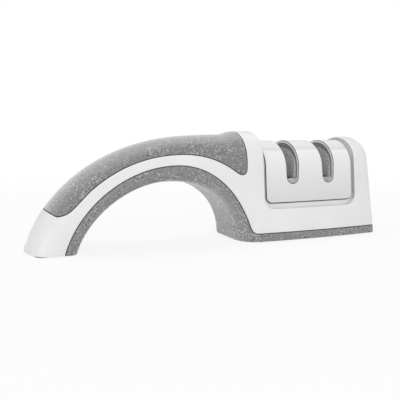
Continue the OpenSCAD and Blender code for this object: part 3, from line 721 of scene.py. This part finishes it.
def bulkhead(x, thick):
    """The end wall of the window at x, from just under the skin down to the cover's saddle."""
    inset, rows = GROOVE - 0.2, []
    for at in (x, x + thick):
        half, top = half_width(at) - BULKHEAD_IN, crown(at) - BULKHEAD_IN
        inner, outer = saddle_half(at, inset, BULKHEAD_LOW), []
        for z, _ in inner:
            if z < COVER_DOME_Z:
                up = mix(BULKHEAD_LOW, DOME_Z, (z - BULKHEAD_LOW) / (COVER_DOME_Z - BULKHEAD_LOW))
                outer.append((up, half + SLOPE * max(0, DOME_Z - up)))
            else:
                a = math.asin(min(1, (z - COVER_DOME_Z) / (COVER_DOME - inset)))
                outer.append((DOME_Z + (top - DOME_Z) * math.sin(a), half * math.cos(a)))
        rows += [mirrored(at, inner), mirrored(at, outer)]
    n = len(rows[0])
    sides = ((0, 1), (1, 3), (3, 2), (2, 0))
    faces = [(a * n + k, a * n + k + 1, b * n + k + 1, b * n + k) for k in range(n - 1) for a, b in sides]
    faces += [(0, n, 3 * n, 2 * n), (n - 1, 3 * n - 1, 4 * n - 1, 2 * n - 1)]
    if thick < 0:
        faces = [tuple(reversed(f)) for f in faces]
    return np.array([p for row in rows for p in row]), faces, [0] * len(faces)


BODY = body_grid()
BODY += (normals_of(*BODY),)

# The material of each of an edge's six rows, from the skin inward: 1 is the near black seam material,
# painted shade along seams, the cover's edge and the slot rims; 2 is the window's edge material, painted
# shade that darkens upward.
PLAIN, ALL = (0, 0, 0, 0, 0, 0), (1, 1, 1, 1, 1, 1)
WALL, ROLL, SHADE = (0, 0, 1, 1, 1, 1), (1, 1, 1, 1, 0, 0), (0, 0, 0, 2, 2, 2)

upper = shell(*BODY, [
    (inside(ABOVE_SPLIT), SEAM_R, SEAM_GAP, WALL),
    (outside(ABOVE_GRIP), SEAM_R, SEAM_GAP, WALL),
    (outside(WINDOW), WINDOW_EDGE, 0.0, SHADE),
    (pad_hole(PAD_X, PAD_HALF, PAD_R, UNDER_HEEL), HOLE_EDGE, 0.0, PLAIN),
], SKIN)
walls = [bulkhead(WINDOW_X, -WALL_T), bulkhead(WINDOW_END, WALL_T)]
piece("upper_shell", joined([upper] + walls), [WHITE, SEAM_MAT, SHADE_MAT], "upper_housing")

grip = shell(*BODY, [(inside(ABOVE_GRIP), SEAM_R, SEAM_GAP, ALL)], SKIN)
piece("grip", grip, [GRIP_MAT, SEAM_MAT], "grip_pad")

base = shell(*BODY, [
    (outside(ABOVE_SPLIT), SEAM_R, SEAM_GAP, ALL),
    (hole(SCREW_HOLES, SCREW_HOLE_R, UNDERNEATH), HOLE_EDGE, 0.0, PLAIN),
    (hole(FEET, FEET_R, UNDERNEATH), FEET_EDGE, 0.0, PLAIN),
    (hole(HANDLE_SCREW, SCREW_HOLE_R, UNDER_ARCH), HOLE_EDGE, 0.0, PLAIN),
], SKIN)
base_piece = piece("base", base, [BASE_MAT, SEAM_MAT], "base_shell")

cover = saddle_shell(0, WINDOW_X, WINDOW_END, WINDOW_Z, COVER_N, [
    (inside(COVER), COVER_EDGE, 0.0, ROLL)
] + [(outside(slot_outline(x)), SLOT_EDGE, 0.0, ROLL) for x in SLOTS], COVER_SKIN)
piece("cover", cover, [COVER_MAT, SEAM_MAT], "guide_cover")

flange = saddle_shell(GROOVE, WINDOW_X - FLANGE_REACH, WINDOW_END + FLANGE_REACH, FLANGE_LOW, LINER_N, [
    (inside(tub(WINDOW_X - 2.2, WINDOW_END + 2.2, FLANGE_Z, 1.0)), 0.1, 0.0, PLAIN),
    (outside(tub(COVER_X + 0.1, COVER_END + 0.45, COVER_Z - 0.3, COVER_R + 0.3)), HOLE_EDGE, 0.0, PLAIN),
], FLANGE_SKIN)
# The flange takes the groove's painted shade, grey higher up.
piece("cover_flange", flange, [GROOVE_SHADE_MAT], "guide_cover", replaces=False)

v, faces, _ = saddle_shell(GROOVE, WINDOW_X, WINDOW_END, WINDOW_Z, LINER_N, [
    (inside(tub(COVER_X + 0.5, COVER_END - 0.5, COVER_Z + 0.5, COVER_R)), 0.1, 0.0, PLAIN)
] + [(slot_above_ledge(x), 0.15, 0.0, PLAIN) for x in SLOTS], LINER_DEPTH)
above = [int(v[list(f), 2].mean() > LEDGE - 0.1) for f in faces]
piece("slot_liner", (v, faces, above), [LEDGE_MAT, LINER_MAT], "guide_cover", replaces=False)


# Floor, light and camera, in metres
def stage_material():
    """White that glows where the camera or a reflection sees it, and takes shadows otherwise."""
    made = bpy.data.materials.new("stage_white")
    made.use_nodes = True
    made.node_tree.nodes.clear()
    node, link = graph(made.node_tree)
    rays = node("LightPath").outputs
    seen = sums(node, link, "MAXIMUM", rays["Is Camera Ray"], rays["Is Glossy Ray"])
    seen = sums(node, link, "MAXIMUM", seen, rays["Is Transmission Ray"])
    away = node("VectorMath", operation="LENGTH")
    link(node("TexCoord").outputs["Object"], away.inputs[0])
    fade = span(node, link, away.outputs["Value"], 0.86, 1.0, 0.16, 0.5)
    both = node("MixShader")
    link(sums(node, link, "MULTIPLY", seen, fade), both.inputs[0])
    link(node("BsdfDiffuse", {"Color": (0.86, 0.86, 0.86, 1)}).outputs[0], both.inputs[1])
    link(node("Emission", {"Color": (1, 1, 1, 1)}).outputs[0], both.inputs[2])
    link(both.outputs[0], node("OutputMaterial").inputs[0])
    return made


GROUND = 12
ground = bpy.data.meshes.new("floor")
corners = [(-GROUND, -GROUND, 0), (GROUND, -GROUND, 0), (GROUND, GROUND, 0), (-GROUND, GROUND, 0)]
ground.from_pydata(corners, [], [(0, 1, 2, 3)])
ground.materials.append(stage_material())
floor = bpy.data.objects.new("floor", ground)
bpy.context.scene.collection.objects.link(floor)

world = bpy.data.worlds.new("studio")
bpy.context.scene.world = world
world.use_nodes = True
world.node_tree.nodes.clear()
node, link = graph(world.node_tree)
sky = node("Background", {"Color": (1, 1, 1, 1)})
link(span(node, link, node("LightPath").outputs["Is Camera Ray"], 0.6, 1.0), sky.inputs["Strength"])
link(sky.outputs[0], node("OutputWorld").inputs[0])


def lamp(name, place, aim, size, power):
    data = bpy.data.lights.new(name, "AREA")
    data.shape = "RECTANGLE"
    data.size, data.size_y = size
    data.energy = power
    ob = bpy.data.objects.new(name, data)
    bpy.context.scene.collection.objects.link(ob)
    ob.location = place
    ob.visible_camera = False
    ob.rotation_mode = "QUATERNION"
    ob.rotation_quaternion = (Vector(aim) - Vector(place)).to_track_quat("-Z", "Y")
    return ob


lamp("key", (-0.12, -0.85, 0.46), (0.02, 0, 0.03), (0.6, 0.6), 2.8)
lamp("side", (-1.6, -0.5, 0.28), (0.02, 0, 0.03), (0.8, 0.5), 2.2)
lamp("top", (-0.05, 0.2, 0.6), (0, 0, 0.04), (0.8, 0.25), 1.15)
low_lamp = lamp("arch", (-0.05, 0.004, 0.016), (0.02, 0, 0.012), (0.03, 0.018), 0.018)
lit = bpy.data.collections.new("lit_beneath_the_arch")
lit.objects.link(base_piece)
low_lamp.light_linking.receiver_collection = lit

optics = bpy.data.cameras.new("camera")
optics.lens = 52.0
optics.sensor_width = 36.0
optics.clip_start = 0.01
camera = bpy.data.objects.new("camera", optics)
bpy.context.scene.collection.objects.link(camera)
camera.location = (-0.1434, -0.3421, 0.0721)
LOOKS_DOWN, TURNS_RIGHT = 7.2, 22
camera.rotation_euler = (math.radians(90 - LOOKS_DOWN), 0, math.radians(-TURNS_RIGHT))
bpy.context.scene.camera = camera
bpy.context.scene.view_settings.view_transform = "Standard"
